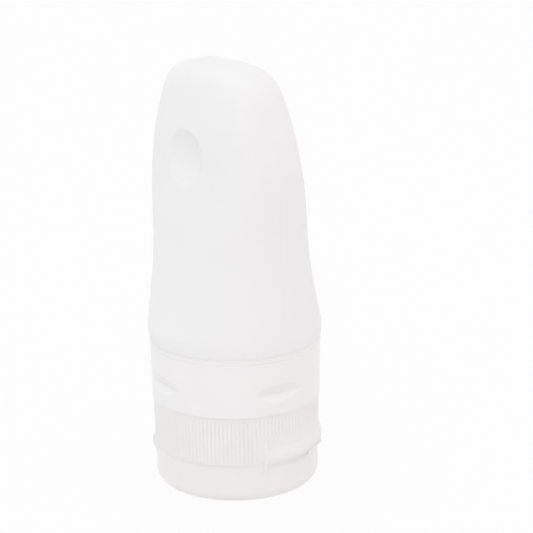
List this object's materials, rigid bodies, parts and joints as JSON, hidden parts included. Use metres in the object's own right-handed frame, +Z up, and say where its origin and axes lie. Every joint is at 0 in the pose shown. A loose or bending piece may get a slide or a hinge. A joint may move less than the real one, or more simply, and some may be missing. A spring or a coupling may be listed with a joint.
{
  "type": "travel silicone bottle",
  "caption": "Soft silicone travel squeeze bottle that stands upside down on a ribbed screw cap with a hinged flip lid.",
  "frame": {"origin": "middle of the lid's flat face, which the bottle stands on", "axes": "+Z up, from the lid to the domed closed end; X along the long axis of the flattened silicone; the suction cup faces -Y; the lid's hinge is 30 degrees round from +X towards +Y"},
  "size_m": [0.0516, 0.0515, 0.1274],
  "materials": {
    "silicone_clear": "satin, milky translucent moulded silicone",
    "silicone_seal": "satin moulded silicone",
    "polypropylene_white": "satin injection-moulded polypropylene",
    "polypropylene_natural": "satin natural polypropylene, slightly translucent"
  },
  "bodies": {
    "bottle": {"bottle_body": "silicone_clear", "neck_insert": "polypropylene_white", "grip_collar": "polypropylene_white"},
    "seal": {"neck_seal": "silicone_seal"},
    "cap": {"screw_cap": "polypropylene_natural", "dispensing_valve": "silicone_seal", "valve_retainer": "polypropylene_white", "hinge_film": "polypropylene_natural"},
    "lid": {"flip_lid": "polypropylene_natural"}
  },
  "joints": [
    {"name": "seal_lift", "type": "slide", "parent": "bottle", "child": "seal", "axis": [0, 0, -1], "range_m": [0, 0.0081]},
    {"name": "cap_turn", "type": "hinge", "parent": "seal", "child": "cap", "pos_m": [0, 0, 0], "axis": [0, 0, -1], "range_deg": [0, 320]},
    {"name": "lid_hinge", "type": "hinge", "parent": "cap", "child": "lid", "pos_m": [0.02165, 0.0125, 0.012], "axis": [0.5, -0.866, 0], "range_deg": [0, 130], "deforming": ["hinge_film"]}
  ],
  "couplings": [
    {"joint": "seal_lift", "follows": "cap_turn", "m_per_rad": 0.0014324}
  ]
}
